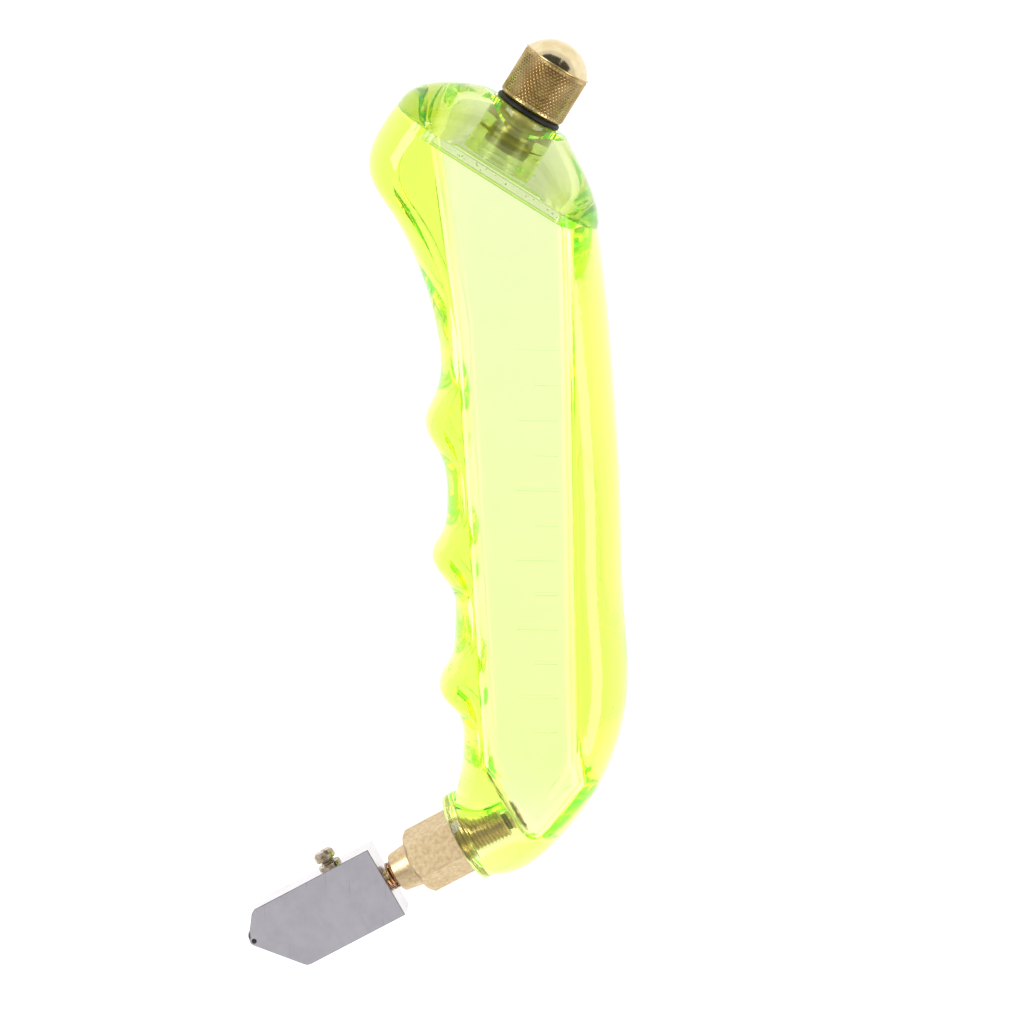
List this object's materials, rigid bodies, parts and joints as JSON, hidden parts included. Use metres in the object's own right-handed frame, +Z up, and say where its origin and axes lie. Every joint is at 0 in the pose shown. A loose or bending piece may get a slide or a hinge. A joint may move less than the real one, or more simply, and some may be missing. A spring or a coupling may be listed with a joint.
{
  "type": "glass cutter",
  "caption": "Pistol-grip glass cutter: clear handle that holds cutting oil, knurled filler cap, sprung brass stem and a swivelling steel head with a carbide wheel.",
  "frame": {"origin": "on the flat side that the tool rests on, under the middle of the grip", "axes": "+Z up from that side, +Y from the wheel end of the handle to the filler cap, +X to the back of the grip"},
  "size_m": [0.0671, 0.1624, 0.022],
  "materials": {
    "lime_acrylic": "polished moulding",
    "clear_cement": "cured cement",
    "turned_brass": "turned",
    "nitrile_rubber": "moulded",
    "spring_bronze": "drawn wire",
    "ground_steel": "ground",
    "plated_steel": "plated",
    "sintered_carbide": "ground",
    "cotton_wick": "twisted"
  },
  "bodies": {
    "handle": {"handle_body": "lime_acrylic", "top_cover": "lime_acrylic", "seam_bond": "clear_cement", "connector": "turned_brass", "return_spring": "spring_bronze"},
    "cap_ring": {"filler_cap_o_ring": "nitrile_rubber"},
    "cap": {"filler_cap": "turned_brass"},
    "plunger": {"plunger_stem": "turned_brass", "valve_o_ring": "nitrile_rubber", "valve_disc": "turned_brass", "valve_clip": "plated_steel"},
    "head": {"cutter_head": "ground_steel", "head_wick": "cotton_wick", "wheel_axle": "plated_steel", "lock_washer": "plated_steel"},
    "lock_screw": {"head_screw": "plated_steel"},
    "wheel": {"cutting_wheel": "sintered_carbide"}
  },
  "joints": [
    {"name": "cap_rise", "type": "slide", "parent": "handle", "child": "cap_ring", "axis": [0.527, 0.8499, 0], "range_m": [0, 0.00845]},
    {"name": "cap_unscrew", "type": "hinge", "parent": "cap_ring", "child": "cap", "pos_m": [-0.0045, 0.0578, 0.011], "axis": [0.527, 0.8499, 0], "range_deg": [0, 2430]},
    {"name": "plunger_press", "type": "slide", "parent": "handle", "child": "plunger", "axis": [0.8704, 0.4924, 0], "range_m": [0, 0.0012], "stiffness_N_per_m": 1500, "springref_m": -0.002, "deforming": ["return_spring"]},
    {"name": "head_swivel", "type": "hinge", "parent": "plunger", "child": "head", "pos_m": [-0.02357, -0.06806, 0.011], "axis": [-0.8704, -0.4924, 0], "range_deg": [-15, 15]},
    {"name": "wheel_spin", "type": "hinge", "parent": "head", "child": "wheel", "pos_m": [-0.04712, -0.07943, 0.011], "axis": [0, 0, 1], "continuous": true},
    {"name": "lock_screw_turn", "type": "hinge", "parent": "head", "child": "lock_screw", "pos_m": [-0.03383, -0.06617, 0.011], "axis": [-0.4924, 0.8704, 0], "range_deg": [0, 180]}
  ],
  "couplings": [
    {"joint": "cap_rise", "follows": "cap_unscrew", "m_per_rad": 0.00019894}
  ]
}
